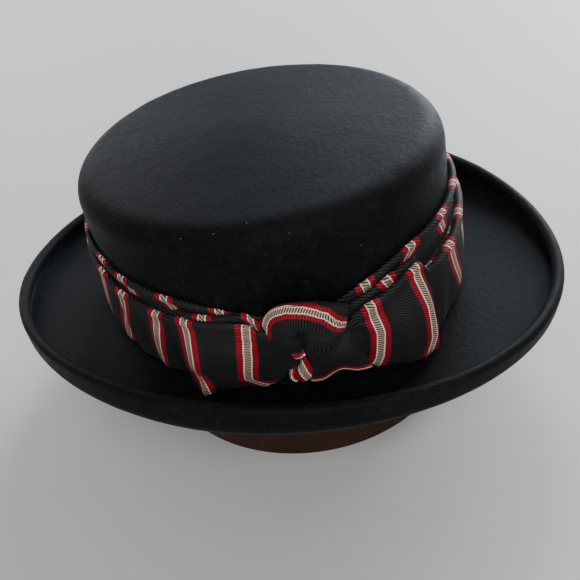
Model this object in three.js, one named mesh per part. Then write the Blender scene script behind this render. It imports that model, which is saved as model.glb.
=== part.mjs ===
// Wool felt hat with a folded tie-cloth band, standing on its turned-down sweatband.
// Millimetres, +Z up. The wearer faces -Y, so +X is the wearer's left, where the knot is.
// The origin is under the middle of the brim, on the surface that the hat stands on.
import * as THREE from 'three';

// Crown
const CROWN_WIDTH = 177;
const CROWN_LENGTH = 207;
const CROWN_HEIGHT = 100.5;
const CROWN_TAPER = 1.2;
const CROWN_SETBACK = 3.1;
const REAR_RISE = 7.8;
const SHOULDER_RADIUS = 14;
const DOME_RISE = 7;
const DOME_POWER = 1.35;
const FELT = 2.8;

// Brim
const BRIM_WIDTH = 254.6;
const BRIM_LENGTH = 333.6;
const BREAK_RADIUS = 4;
const BRIM_SIDE_LIFT = 7;
const BRIM_END_DROP = 0.4;
const CURL_RADIUS_SIDE = 5.9;
const CURL_RADIUS_END = 3;
const CURL_ANGLE_SIDE = 108;
const CURL_ANGLE_END = 80;
const LIP_HEIGHT_SIDE = 7.4;
const LIP_HEIGHT_END = 5.4;
const LIP_THICKNESS = 7;

// Sweatband
const SWEATBAND_DROP = 62;
const SWEATBAND_TUCK = 8;
const SWEATBAND_THICKNESS = 1.4;
const SWEATBAND_HEM_WIDTH = 177;
const SWEATBAND_HEM_LENGTH = 189;
const SWEATBAND_HEM_SHIFT = 4.9;

// Band of folded cloth
const CLOTH = 1;
const CLEARANCE = 0.35;
const BAND_HEIGHT = 64;
const BAND_FLARE = 12;
const HEM_STANDOFF = 3.4;
const FOLD_TUCK = 4.5;
const ROLL_SPREAD = 2.4;

// Knot
const KNOT_TURN = 24.3;
const KNOT_WIDTH = 42;
const KNOT_HEIGHT = 67;
const KNOT_STANDOFF = 18.5;
const KNOT_DIMPLE = 6;

// Steps round the hat, in degrees, closer together for the band beside the knot
const STEP = 7.5;
const FINE_STEP = 3.75;
const FINE_FROM = -22.5;
const FINE_TO = 75;
const KNOT_COLUMNS = 10;
const KNOT_ROWS = 12;

// Slow waves of the brim round its edge, as shares of BRIM_SIDE_LIFT: its height and its reach.
const BRIM_WAVES = [
  { waves: 1, liftCos: 0.24, liftSin: 0.09, reachCos: 0, reachSin: 0 },
  { waves: 2, liftCos: 0, liftSin: -0.31, reachCos: 0, reachSin: -0.1 },
  { waves: 4, liftCos: 0, liftSin: 0, reachCos: 0.1, reachSin: 0.02 },
];

// The band at turns about the crown, in degrees from the knot side towards the back.
// top, mid, low and lift are heights of the three folds and of the hem, as shares of BAND_HEIGHT.
// fold is how far the middle fold is laid over: 0 where it lies flat behind the lower one.
// belly and hem are how far the lower panel stands out, as shares of BAND_FLARE.
// bulk is how full the folds are, as a share of ROLL_SPREAD.
// stand is how far the lower fold stands off the upper one, as a share of BAND_FLARE.
// kink is how far the panel is creased in above its hem, as a share of BAND_FLARE.
// hump is how far the middle fold swells over a flattened upper one.
const BAND_ROWS = [
  { turn: -180, top: 0.97, mid: 0.82, low: 0.68, fold: 1, belly: 0.2, hem: 0.3, lift: 0, bulk: 0.8,
    stand: 0, kink: 0, hump: 0 },
  { turn: -110, top: 1, mid: 0.83, low: 0.72, fold: 1, belly: 0.15, hem: 0.2, lift: 0, bulk: 0.6,
    stand: 0, kink: 0, hump: 0 },
  { turn: -75, top: 1.07, mid: 0.8, low: 0.94, fold: 0, belly: 0.1, hem: 0.5, lift: 0, bulk: 0.4,
    stand: 0, kink: 0, hump: 0 },
  { turn: -61, top: 1.07, mid: 0.8, low: 0.93, fold: 0, belly: 0.1, hem: 0.14, lift: 0, bulk: 0.4,
    stand: 0, kink: 0, hump: 0 },
  { turn: -45, top: 1.05, mid: 0.78, low: 0.91, fold: 0, belly: 0.1, hem: 0, lift: 0, bulk: 0.5,
    stand: 0, kink: 0, hump: 0 },
  { turn: -33, top: 0.995, mid: 0.76, low: 0.82, fold: 0, belly: 0.12, hem: 0, lift: 0, bulk: 0.7,
    stand: 0, kink: 0, hump: 0 },
  { turn: -24, top: 0.99, mid: 0.76, low: 0.805, fold: 0, belly: 0.12, hem: 0, lift: 0, bulk: 0.9,
    stand: 0, kink: 0, hump: 0 },
  { turn: -18.5, top: 0.97, mid: 0.79, low: 0.795, fold: 0.25, belly: 0.05, hem: 0, lift: 0.04, bulk: 1,
    stand: 0, kink: 0.05, hump: 0 },
  { turn: -14.5, top: 0.96, mid: 0.82, low: 0.815, fold: 0.7, belly: 0.1, hem: 0.15, lift: 0.02, bulk: 1,
    stand: 0, kink: 0.1, hump: 0 },
  { turn: -10, top: 0.95, mid: 0.86, low: 0.835, fold: 1, belly: 0.2, hem: 0.62, lift: 0, bulk: 1,
    stand: 0, kink: 0.3, hump: 0 },
  { turn: -6, top: 0.93, mid: 0.865, low: 0.835, fold: 1, belly: 0.28, hem: 0.93, lift: 0, bulk: 1,
    stand: 0, kink: 0.5, hump: 0.2 },
  { turn: -3, top: 0.91, mid: 0.865, low: 0.84, fold: 1, belly: 0.3, hem: 0.4, lift: 0, bulk: 1,
    stand: 0, kink: 0.25, hump: 0.5 },
  { turn: 1, top: 0.885, mid: 0.87, low: 0.84, fold: 1, belly: 0.32, hem: 0.15, lift: 0, bulk: 1,
    stand: 0, kink: 0.15, hump: 0.9 },
  { turn: 5, top: 0.855, mid: 0.885, low: 0.835, fold: 1, belly: 0.35, hem: 0.05, lift: 0, bulk: 0.9,
    stand: 0, kink: 0.1, hump: 1 },
  { turn: 9, top: 0.835, mid: 0.9, low: 0.81, fold: 1, belly: 0.25, hem: 0.1, lift: 0, bulk: 0.9,
    stand: 0, kink: 0.05, hump: 1 },
  { turn: 13, top: 0.8, mid: 0.78, low: 0.72, fold: 1, belly: 0.05, hem: 0.05, lift: 0.03, bulk: 0.4,
    stand: 0, kink: 0, hump: 0.3 },
  { turn: 17, top: 0.76, mid: 0.68, low: 0.6, fold: 1, belly: 0, hem: 0, lift: 0.12, bulk: 0.2,
    stand: 0, kink: 0, hump: 0 },
  { turn: 31, top: 0.76, mid: 0.66, low: 0.57, fold: 1, belly: 0, hem: 0, lift: 0.15, bulk: 0.1,
    stand: 0, kink: 0, hump: 0 },
  { turn: 35, top: 0.82, mid: 0.7, low: 0.62, fold: 1, belly: 0, hem: 0, lift: 0.1, bulk: 0.3,
    stand: 0, kink: 0, hump: 0 },
  { turn: 38.5, top: 0.87, mid: 0.78, low: 0.71, fold: 1, belly: 0.12, hem: 0.1, lift: 0.03, bulk: 0.8,
    stand: 0, kink: 0, hump: 0 },
  { turn: 42.4, top: 0.905, mid: 0.83, low: 0.775, fold: 1, belly: 0.2, hem: 0.28, lift: 0, bulk: 1.1,
    stand: 0, kink: 0, hump: 0 },
  { turn: 46.5, top: 0.945, mid: 0.87, low: 0.8, fold: 1, belly: 0.25, hem: 0.5, lift: 0, bulk: 1.1,
    stand: 0, kink: 0, hump: 0 },
  { turn: 51, top: 0.98, mid: 0.895, low: 0.825, fold: 1, belly: 0.3, hem: 0.78, lift: 0, bulk: 1.1,
    stand: 0, kink: 0, hump: 0 },
  { turn: 56, top: 1.01, mid: 0.9, low: 0.86, fold: 1, belly: 0.3, hem: 0.97, lift: 0, bulk: 1.1,
    stand: 0, kink: 0, hump: 0 },
  { turn: 59.5, top: 1.025, mid: 0.905, low: 0.88, fold: 0.9, belly: 0.22, hem: 1.05, lift: 0, bulk: 1,
    stand: 0.02, kink: 0, hump: 0 },
  { turn: 63.5, top: 1.035, mid: 0.86, low: 0.75, fold: 0, belly: 0.1, hem: 0.6, lift: 0, bulk: 1.2,
    stand: 0.2, kink: 0, hump: 0 },
  { turn: 67, top: 1.035, mid: 0.86, low: 0.76, fold: 0, belly: 0.05, hem: 0.3, lift: 0, bulk: 1.3,
    stand: 0.26, kink: 0, hump: 0 },
  { turn: 75, top: 1.04, mid: 0.86, low: 0.77, fold: 0, belly: 0.05, hem: 0.1, lift: 0, bulk: 1.3,
    stand: 0.18, kink: 0, hump: 0 },
  { turn: 95, top: 1.05, mid: 0.86, low: 0.8, fold: 0, belly: 0.1, hem: 0.12, lift: 0, bulk: 1.2,
    stand: 0.05, kink: 0, hump: 0 },
  { turn: 125, top: 1, mid: 0.84, low: 0.76, fold: 1, belly: 0.15, hem: 0.3, lift: 0, bulk: 0.9,
    stand: 0, kink: 0, hump: 0 },
  { turn: 180, top: 0.97, mid: 0.82, low: 0.68, fold: 1, belly: 0.2, hem: 0.3, lift: 0, bulk: 0.8,
    stand: 0, kink: 0, hump: 0 },
];

// Net of the knot's cloth from behind its upper edge, over the front, to its lower edge.
// across is the share of KNOT_WIDTH to the side of KNOT_TURN, up the share of KNOT_HEIGHT above
// the brim, out the share of KNOT_STANDOFF off the crown.
const KNOT_NET = [
  {
    across: [-0.46, -0.22, 0.05, 0.28, 0.5],
    up: [0.83, 0.9, 0.93, 0.9, 0.86],
    out: [0.5, 0.12, 0.07, 0.12, 0.5],
  },
  {
    across: [-0.47, -0.23, 0.05, 0.29, 0.53],
    up: [0.8, 0.96, 1, 0.93, 0.83],
    out: [0.6, 0.63, 0.73, 0.72, 0.62],
  },
  {
    across: [-0.45, -0.23, 0.02, 0.25, 0.49],
    up: [0.73, 0.89, 0.93, 0.85, 0.75],
    out: [0.62, 0.83, 1, 0.95, 0.65],
  },
  {
    across: [-0.43, -0.25, -0.03, 0.19, 0.47],
    up: [0.67, 0.75, 0.75, 0.71, 0.66],
    out: [0.62, 0.85, 0.95, 1, 0.65],
  },
  {
    across: [-0.42, -0.26, -0.06, 0.16, 0.46],
    up: [0.58, 0.6, 0.56, 0.53, 0.56],
    out: [0.6, 0.8, 0.8, 0.92, 0.64],
  },
  {
    across: [-0.4, -0.27, -0.07, 0.18, 0.5],
    up: [0.45, 0.38, 0.34, 0.33, 0.38],
    out: [0.56, 0.7, 0.74, 0.8, 0.64],
  },
  {
    across: [-0.31, -0.16, 0.02, 0.27, 0.62],
    up: [0.18, 0.15, 0.16, 0.17, 0.12],
    out: [0.52, 0.64, 0.68, 0.68, 0.62],
  },
];

const rad = THREE.MathUtils.degToRad;
const mix = THREE.MathUtils.lerp;

function material(name, color, roughness) {
  return new THREE.MeshStandardMaterial({ name, color, roughness, metalness: 0, side: THREE.DoubleSide });
}

const felt = material('felt', 0x17191c, 0.95);
const tieCloth = material('tie_cloth', 0x24262a, 0.7);
const leather = material('leather', 0x2d1a10, 0.6);

function ovalPoint(width, length, turn) {
  return new THREE.Vector2((width / 2) * Math.cos(turn), (length / 2) * Math.sin(turn));
}

// Point at a turn about the crown, a distance outside its base oval and a height above the brim.
function aboutCrown(turn, out, height) {
  const shoulder = SHOULDER_RADIUS + CROWN_TAPER + FELT;
  let halfWidth = CROWN_WIDTH / 2 + out;
  let halfLength = CROWN_LENGTH / 2 + out;
  if (out < -shoulder) {
    const share = halfWidth / (CROWN_WIDTH / 2 - shoulder);
    halfLength = (CROWN_LENGTH / 2 - shoulder) * share;
  }
  const x = halfWidth * Math.cos(turn);
  const y = halfLength * Math.sin(turn);
  const rise = REAR_RISE * (y / CROWN_LENGTH) * (height / CROWN_HEIGHT);
  return new THREE.Vector3(x, y + CROWN_SETBACK, SWEATBAND_DROP + height + rise);
}

// Point on the brim, a distance out from the crown's base towards the brim's outline.
function acrossBrim(turn, out, height) {
  const base = ovalPoint(CROWN_WIDTH, CROWN_LENGTH, turn);
  base.y += CROWN_SETBACK;
  const way = ovalPoint(BRIM_WIDTH, BRIM_LENGTH, turn).sub(base).normalize();
  return new THREE.Vector3(base.x + way.x * out, base.y + way.y * out, SWEATBAND_DROP + height);
}

function brimWave(turn, cosKey, sinKey) {
  const share = BRIM_WAVES.reduce(
    (sum, row) => sum + row[cosKey] * Math.cos(row.waves * turn) + row[sinKey] * Math.sin(row.waves * turn),
    0,
  );
  return share * BRIM_SIDE_LIFT;
}

function brimReach(turn) {
  const x = ((BRIM_WIDTH - CROWN_WIDTH) / 2) * Math.cos(turn);
  const y = ((BRIM_LENGTH - CROWN_LENGTH) / 2) * Math.sin(turn) - CROWN_SETBACK;
  return Math.hypot(x, y) + brimWave(turn, 'reachCos', 'reachSin');
}

// Sizes of the brim's curled edge at a turn: flat is where the curl starts, lift its height there.
function brimCurl(turn) {
  const side = 0.5 + 0.5 * Math.cos(2 * turn);
  const lift = mix(-BRIM_END_DROP, BRIM_SIDE_LIFT, side) + brimWave(turn, 'liftCos', 'liftSin');
  const radius = mix(CURL_RADIUS_END, CURL_RADIUS_SIDE, side);
  const endAngle = rad(mix(CURL_ANGLE_END, CURL_ANGLE_SIDE, side));
  const lip = mix(LIP_HEIGHT_END, LIP_HEIGHT_SIDE, side);
  const lipLean = ((LIP_THICKNESS - FELT) / 2) * Math.sin(endAngle);
  const lipReach = LIP_THICKNESS / 2 - lipLean + lip * Math.cos(endAngle);
  const edge = brimReach(turn) - lipReach - radius * Math.sin(Math.min(endAngle, Math.PI / 2));
  const startAngle = Math.atan((2 * lift) / edge);
  return { lift, radius, startAngle, endAngle, lip, flat: edge + radius * Math.sin(startAngle) };
}

// Height of the middle of the brim's felt above the break, a distance out from the crown.
function brimHeight(turn, out) {
  const { lift, flat } = brimCurl(turn);
  return lift * (out / flat) ** 2;
}

// Offsets an open path in the section plane to both sides: {o: distance out, h: height}.
function thicken(path, upper, lower) {
  const sides = { upper: [], lower: [] };
  path.forEach((point, i) => {
    const before = path[Math.max(i - 1, 0)];
    const after = path[Math.min(i + 1, path.length - 1)];
    const inward = new THREE.Vector2(point.o - before.o, point.h - before.h);
    const onward = new THREE.Vector2(after.o - point.o, after.h - point.h);
    if (inward.length() === 0) inward.copy(onward);
    if (onward.length() === 0) onward.copy(inward);
    inward.normalize();
    onward.normalize();
    const normal = new THREE.Vector2(-inward.y - onward.y, inward.x + onward.x);
    normal.divideScalar(1 + inward.dot(onward));
    const moved = (by) => ({ ...point, o: point.o + normal.x * by, h: point.h + normal.y * by });
    sides.upper.push(moved(upper[i]));
    sides.lower.push(moved(-lower[i]));
  });
  return sides;
}

// Closed body through rings of equal length. A ring of one point closes an end.
function closedBody(rings, wrapRings) {
  const positions = [];
  const starts = rings.map((ring) => {
    const start = positions.length / 3;
    ring.forEach((point) => positions.push(point.x, point.y, point.z));
    return start;
  });
  const faces = [];
  const last = wrapRings ? rings.length : rings.length - 1;
  for (let r = 0; r < last; r += 1) {
    const a = rings[r];
    const b = rings[(r + 1) % rings.length];
    const startA = starts[r];
    const startB = starts[(r + 1) % rings.length];
    const count = Math.max(a.length, b.length);
    for (let i = 0; i < count; i += 1) {
      const next = (i + 1) % count;
      if (a.length === 1) faces.push([startA, startB + i, startB + next]);
      else if (b.length === 1) faces.push([startA + i, startB, startA + next]);
      else {
        faces.push([startA + i, startB + i, startB + next]);
        faces.push([startA + i, startB + next, startA + next]);
      }
    }
  }
  let volume = 0;
  const corner = (index) => new THREE.Vector3().fromArray(positions, index * 3);
  faces.forEach(([p, q, s]) => {
    volume += corner(p).dot(corner(q).cross(corner(s)));
  });
  const index = faces.flatMap(([p, q, s]) => (volume > 0 ? [p, q, s] : [p, s, q]));
  const geometry = new THREE.BufferGeometry();
  geometry.setAttribute('position', new THREE.Float32BufferAttribute(positions, 3));
  geometry.setIndex(index);
  geometry.computeVertexNormals();
  return geometry;
}

function piece(name, geometry, look) {
  const mesh = new THREE.Mesh(geometry, look);
  mesh.name = name;
  return mesh;
}

// Section of crown and brim at one turn, from the middle of the crown top to the lip.
function feltSection(turn) {
  const path = [];
  const half = FELT / 2;
  const wallTop = -half - CROWN_TAPER;
  const shoulder = SHOULDER_RADIUS - half;
  const wallHeight = CROWN_HEIGHT - half - shoulder;
  const domeSlope = Math.atan((DOME_POWER * DOME_RISE) / (CROWN_WIDTH / 2 - shoulder));
  const domeReach = CROWN_WIDTH / 2 + wallTop - shoulder * (1 - Math.sin(domeSlope));
  const domeEdge = wallHeight + shoulder * Math.cos(domeSlope);
  for (const share of [0, 0.25, 0.5, 0.75]) {
    const rise = DOME_RISE * (1 - share ** DOME_POWER);
    path.push({ o: -CROWN_WIDTH / 2 + domeReach * share, h: domeEdge + rise });
  }
  for (const share of [1, 0.75, 0.5, 0.25, 0]) {
    const angle = (Math.PI / 2 - domeSlope) * share;
    const o = wallTop - shoulder + shoulder * Math.cos(angle);
    path.push({ o, h: wallHeight + shoulder * Math.sin(angle) });
  }
  for (const share of [0.66, 0.33]) {
    const h = mix(BREAK_RADIUS, wallHeight, share);
    path.push({ o: -half - CROWN_TAPER * (h / wallHeight), h });
  }
  for (const angle of [0, 45, 90]) {
    const o = -half + BREAK_RADIUS * (1 - Math.cos(rad(angle)));
    path.push({ o, h: BREAK_RADIUS * (1 - Math.sin(rad(angle))) });
  }
  const { lift, radius, startAngle, endAngle, lip, flat } = brimCurl(turn);
  const lipExtra = LIP_THICKNESS - FELT;
  const from = BREAK_RADIUS - half;
  for (const share of [0.25, 0.5, 0.75, 1]) {
    path.push({ o: mix(from, flat, share), h: brimHeight(turn, mix(from, flat, share)), onBrim: true });
  }
  const flatEnd = path.length - 1;
  for (const share of [0.33, 0.67, 1]) {
    const angle = mix(startAngle, endAngle, share);
    const o = flat + radius * (Math.sin(angle) - Math.sin(startAngle));
    path.push({ o, h: lift + radius * (Math.cos(startAngle) - Math.cos(angle)), onBrim: true });
  }
  const tip = path[path.length - 1];
  const along = (share) => ({
    o: tip.o + lip * share * Math.cos(endAngle),
    h: tip.h + lip * share * Math.sin(endAngle),
    onBrim: true,
  });
  path.push(along(0.5), along(1));
  const end = path[path.length - 1];
  const swell = (i) => Math.max(0, (i - flatEnd) / (path.length - 1 - flatEnd)) ** 1.6;
  const upper = path.map((point, i) => half + lipExtra * swell(i));
  const lower = path.map(() => half);
  const sides = thicken(path, upper, lower);
  const cap = [];
  const centre = {
    o: end.o - (lipExtra / 2) * Math.sin(endAngle),
    h: end.h + (lipExtra / 2) * Math.cos(endAngle),
  };
  for (const angle of [45, 0, -45]) {
    const swing = endAngle + rad(angle);
    cap.push({
      o: centre.o + (LIP_THICKNESS / 2) * Math.cos(swing),
      h: centre.h + (LIP_THICKNESS / 2) * Math.sin(swing),
      onBrim: true,
    });
  }
  return [...sides.upper, ...cap, ...sides.lower.reverse()];
}

function feltBody() {
  const sections = [];
  for (let at = 0; at < 360; at += STEP) {
    const turn = rad(at);
    sections.push(feltSection(turn).map((p) => (p.onBrim ? acrossBrim : aboutCrown)(turn, p.o, p.h)));
  }
  const rings = sections[0].map((unused, j) => sections.map((section) => section[j]));
  rings[0] = [rings[0][0]];
  rings[rings.length - 1] = [rings[rings.length - 1][0]];
  return closedBody(rings, false);
}

// Row of the band at a turn, eased between the two listed rows beside it.
function bandRow(degrees) {
  const wrapped = THREE.MathUtils.euclideanModulo(degrees + 180, 360) - 180;
  const after = Math.max(1, BAND_ROWS.findIndex((row) => row.turn > wrapped));
  const a = BAND_ROWS[after - 1];
  const b = BAND_ROWS[after];
  const share = THREE.MathUtils.smoothstep(wrapped, a.turn, b.turn);
  return Object.fromEntries(Object.keys(a).map((key) => [key, mix(a[key], b[key], share)]));
}

// How far two folds a gap apart crowd each other where a leg of a given depth hangs between them.
function crowding(gap, depth) {
  return THREE.MathUtils.clamp((depth + 1.5 * CLOTH - gap) / (1.5 * CLOTH), 0, 1);
}

// Section of the band: one cloth laid in folds, each fold lying over the one above.
function bandSection(degrees) {
  const row = bandRow(degrees);
  const turn = rad(degrees);
  const pitch = CLOTH + CLEARANCE;
  const inner = CLEARANCE + CLOTH / 2;
  const spread = ROLL_SPREAD * row.bulk;
  const topSpread = spread * (1 - 0.8 * row.hump);
  const midSpread = spread * (1 + 0.7 * row.hump);
  const top = BAND_HEIGHT * row.top;
  const mid = BAND_HEIGHT * row.mid;
  const low = BAND_HEIGHT * row.low;
  const firstFace = inner + pitch * crowding(top - mid, FOLD_TUCK);
  const secondFace = mix(inner + CLEARANCE, firstFace + 2 * pitch, crowding(mid - low, FOLD_TUCK + pitch));
  const plainFace = inner + pitch * crowding(top - low, FOLD_TUCK);
  const face = mix(plainFace, secondFace, row.fold);
  const roll = face + BAND_FLARE * row.stand;
  const panelTop = low - FOLD_TUCK - pitch;
  const valley = low - FOLD_TUCK;
  const faceTop = top - FOLD_TUCK - pitch;
  const folded = [
    { o: firstFace, h: mid - FOLD_TUCK },
    { o: firstFace + pitch, h: mid - FOLD_TUCK },
    { o: firstFace + pitch, h: mid - pitch * 1.5 },
    { o: firstFace + pitch * 1.5 + midSpread * 0.4, h: mid },
    { o: firstFace + pitch * 2 + midSpread * 0.8, h: mid - pitch * 1.3 },
    { o: firstFace + pitch * 2, h: mid - FOLD_TUCK - pitch * 0.3 },
  ];
  const plain = folded.map((point, i) => ({
    o: mix(firstFace, plainFace, (i + 1) / (folded.length + 1)),
    h: mix(faceTop, valley, (i + 1) / (folded.length + 1)),
  }));
  const middle = folded.map((point, i) => ({
    o: mix(plain[i].o, point.o, row.fold),
    h: mix(plain[i].h, point.h, row.fold),
  }));
  const path = [
    { o: inner, h: top - FOLD_TUCK },
    { o: inner, h: top - pitch * 1.5 },
    { o: inner + pitch * 0.5 + topSpread * 0.4, h: top },
    { o: inner + pitch + topSpread * 0.8, h: top - pitch * 1.3 },
    { o: mix(inner + pitch, firstFace, row.fold), h: Math.max(faceTop, middle[0].h + pitch) },
    ...middle,
    { o: face, h: valley },
    { o: roll + pitch, h: valley },
    { o: roll + pitch, h: low - pitch * 1.6 },
    { o: roll + pitch * 1.6 + spread * 0.5, h: low },
    { o: roll + pitch * 2.2 + spread, h: low - pitch * 1.6 },
    { o: roll + pitch * 2 + spread * 0.5, h: panelTop },
  ];
  const hemOut = HEM_STANDOFF + BAND_FLARE * row.hem;
  const rest = FELT / 2 + CLEARANCE + CLOTH / 2;
  const hemHeight = brimHeight(turn, hemOut) + rest + CLOTH * 0.5 + BAND_HEIGHT * row.lift;
  const start = path[path.length - 1];
  for (const [share, kink] of [[0.3, 0], [0.58, 0], [0.8, row.kink]]) {
    const belly = BAND_FLARE * (row.belly * Math.sin(Math.PI * share) - kink);
    path.push({ o: mix(start.o, hemOut, share) + belly, h: mix(panelTop, hemHeight, share) });
  }
  path.push({ o: hemOut, h: hemHeight });
  const half = path.map(() => CLOTH / 2);
  const sides = thicken(path, half, half);
  return [...sides.upper, ...sides.lower.reverse()];
}

function bandTurns() {
  const turns = [];
  for (let at = FINE_FROM; at < FINE_TO; at += FINE_STEP) turns.push(at);
  for (let at = FINE_TO; at < FINE_FROM + 360; at += STEP) turns.push(at);
  return turns;
}

// Point measured out from the crown's tapering wall.
function besideCrown(degrees, point) {
  const lean = CROWN_TAPER * (point.h / (CROWN_HEIGHT - SHOULDER_RADIUS));
  return aboutCrown(rad(degrees), point.o - lean, point.h);
}

function hatBand() {
  const place = (degrees) => bandSection(degrees).map((point) => besideCrown(degrees, point));
  return closedBody(bandTurns().map(place), true);
}

// Knot: a puffed loop of cloth round the pinch of the band, with a dimple in its front.
function knot() {
  const side = ovalPoint(CROWN_LENGTH, CROWN_WIDTH, rad(KNOT_TURN)).length();
  const curve = (points) => new THREE.CatmullRomCurve3(points, false, 'catmullrom');
  const rows = KNOT_NET.map(({ across, up, out }) => curve(across.map(
    (share, i) => new THREE.Vector3(share * KNOT_WIDTH, up[i] * KNOT_HEIGHT, out[i] * KNOT_STANDOFF),
  )));
  const surface = (across, down) => {
    const point = curve(rows.map((row) => row.getPoint(across))).getPoint(down);
    point.z -= KNOT_DIMPLE * Math.exp(-(((across - 0.47) / 0.14) ** 2) - ((down - 0.6) / 0.09) ** 2);
    return point;
  };
  const slope = (at, step) => surface(...at.map((x, i) => Math.min(x + step[i], 1))).sub(
    surface(...at.map((x, i) => Math.max(x - step[i], 0))),
  );
  const place = (point) => {
    const turned = THREE.MathUtils.radToDeg(point.x / side);
    return besideCrown(KNOT_TURN + turned, { o: point.z, h: point.y });
  };
  const sections = [];
  for (let i = 0; i <= KNOT_COLUMNS; i += 1) {
    const front = [];
    const back = [];
    for (let j = 0; j <= KNOT_ROWS; j += 1) {
      const at = [i / KNOT_COLUMNS, j / KNOT_ROWS];
      const along = slope(at, [0.01, 0]);
      const down = slope(at, [0, 0.01]);
      const normal = down.cross(along).setLength(CLOTH / 2);
      front.push(place(surface(...at).add(normal)));
      back.push(place(surface(...at).sub(normal)));
    }
    sections.push([...front, ...back.reverse()]);
  }
  return sheetBody(sections);
}

// Closed body through open sections, with a strip of faces across the first and the last.
function sheetBody(sections) {
  const count = sections[0].length;
  const rows = count / 2;
  const positions = sections.flat().flatMap((point) => point.toArray());
  const faces = [];
  for (let s = 0; s < sections.length - 1; s += 1) {
    for (let i = 0; i < count; i += 1) {
      const a = s * count + i;
      const b = s * count + ((i + 1) % count);
      faces.push([a, b, b + count], [a, b + count, a + count]);
    }
  }
  [0, sections.length - 1].forEach((s) => {
    for (let i = 0; i < rows - 1; i += 1) {
      const a = s * count + i;
      const b = s * count + (count - 1 - i);
      const strip = [[a, b, b - 1], [a, b - 1, a + 1]];
      strip.forEach((face) => faces.push(s === 0 ? face : face.reverse()));
    }
  });
  const corner = (index) => new THREE.Vector3().fromArray(positions, index * 3);
  let volume = 0;
  faces.forEach(([p, q, s]) => {
    volume += corner(p).dot(corner(q).cross(corner(s)));
  });
  const geometry = new THREE.BufferGeometry();
  geometry.setAttribute('position', new THREE.Float32BufferAttribute(positions, 3));
  geometry.setIndex(faces.flatMap(([p, q, s]) => (volume > 0 ? [p, q, s] : [p, s, q])));
  geometry.computeVertexNormals();
  return geometry;
}

// Sweatband: sewn in above the break and turned down to carry the hat.
function sweatband() {
  const sections = [];
  const half = SWEATBAND_THICKNESS / 2;
  const inset = FELT + CLEARANCE + half;
  const lean = CROWN_TAPER / (CROWN_HEIGHT - SHOULDER_RADIUS);
  const levels = [
    { h: SWEATBAND_DROP + SWEATBAND_TUCK, share: 0 },
    { h: SWEATBAND_DROP - BREAK_RADIUS, share: 0 },
    { h: SWEATBAND_DROP * 0.6, share: 0.45 },
    { h: SWEATBAND_DROP * 0.25, share: 0.8 },
    { h: 0, share: 1 },
  ];
  for (let at = 0; at < 360; at += STEP) {
    const ring = (side) => levels.map(({ h, share }) => {
      const tuck = inset + lean * Math.max(h - SWEATBAND_DROP, 0);
      const width = mix(CROWN_WIDTH - 2 * tuck, SWEATBAND_HEM_WIDTH - 2 * half, share) + 2 * side;
      const length = mix(CROWN_LENGTH - 2 * tuck, SWEATBAND_HEM_LENGTH - 2 * half, share) + 2 * side;
      const place = ovalPoint(width, length, rad(at));
      return new THREE.Vector3(place.x, place.y + CROWN_SETBACK + SWEATBAND_HEM_SHIFT * share, h);
    });
    sections.push([...ring(half), ...ring(-half).reverse()]);
  }
  return closedBody(sections, true);
}

const hat = new THREE.Group();
hat.name = 'felt_hat';
hat.add(piece('felt_body', feltBody(), felt));
hat.add(piece('hat_band', hatBand(), tieCloth));
hat.add(piece('band_knot', knot(), tieCloth));
hat.add(piece('sweatband', sweatband(), leather));

export default hat;
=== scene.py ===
import math

import bpy
import numpy as np
from mathutils import Matrix, Vector, noise


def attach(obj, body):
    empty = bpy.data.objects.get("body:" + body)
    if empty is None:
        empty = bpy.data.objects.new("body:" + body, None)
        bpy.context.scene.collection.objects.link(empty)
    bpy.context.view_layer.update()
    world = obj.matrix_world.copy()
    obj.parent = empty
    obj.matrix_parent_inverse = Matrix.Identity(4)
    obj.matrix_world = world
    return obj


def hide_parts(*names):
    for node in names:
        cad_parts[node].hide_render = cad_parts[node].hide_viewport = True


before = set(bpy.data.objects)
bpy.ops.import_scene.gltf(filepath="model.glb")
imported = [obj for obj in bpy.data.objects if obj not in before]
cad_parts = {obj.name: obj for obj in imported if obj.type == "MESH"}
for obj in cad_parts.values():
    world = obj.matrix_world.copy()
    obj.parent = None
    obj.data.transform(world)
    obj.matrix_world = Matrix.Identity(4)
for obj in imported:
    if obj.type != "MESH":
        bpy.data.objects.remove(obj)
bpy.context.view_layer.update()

MM = 0.001

# Sizes of the hat in millimetres, the same as in the CAD model
CROWN_WIDTH, CROWN_LENGTH, CROWN_HEIGHT = 177.0, 207.0, 100.5
CROWN_TAPER, CROWN_SETBACK, REAR_RISE = 1.2, 3.1, 7.8
SHOULDER_RADIUS, FELT = 14.0, 2.8
DOME_RISE, DOME_POWER = 7.0, 1.35
BRIM_WIDTH, BRIM_LENGTH, BREAK_RADIUS = 254.6, 333.6, 4.0
BRIM_SIDE_LIFT, BRIM_END_DROP = 7.0, 0.4
CURL_RADIUS_SIDE, CURL_RADIUS_END = 5.9, 3.0
CURL_ANGLE_SIDE, CURL_ANGLE_END = 108.0, 80.0
LIP_HEIGHT_SIDE, LIP_HEIGHT_END, LIP_THICKNESS = 7.4, 5.4, 7.0
BRIM_WAVES = [
    {"waves": 1, "lift_cos": 0.24, "lift_sin": 0.09, "reach_cos": 0, "reach_sin": 0},
    {"waves": 2, "lift_cos": 0, "lift_sin": -0.31, "reach_cos": 0, "reach_sin": -0.1},
    {"waves": 4, "lift_cos": 0, "lift_sin": 0, "reach_cos": 0.1, "reach_sin": 0.02},
]
SWEATBAND_DROP, SWEATBAND_TUCK, SWEATBAND_THICKNESS = 62.0, 8.0, 1.4
HEM_WIDTH, HEM_LENGTH, HEM_SHIFT = 177.0, 189.0, 4.9
BAND_HEIGHT, BAND_FLARE, HEM_STANDOFF = 64.0, 12.0, 3.4
FOLD_TUCK, ROLL_SPREAD, CLEARANCE = 4.5, 2.4, 0.35
CLOTH = 0.9
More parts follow.
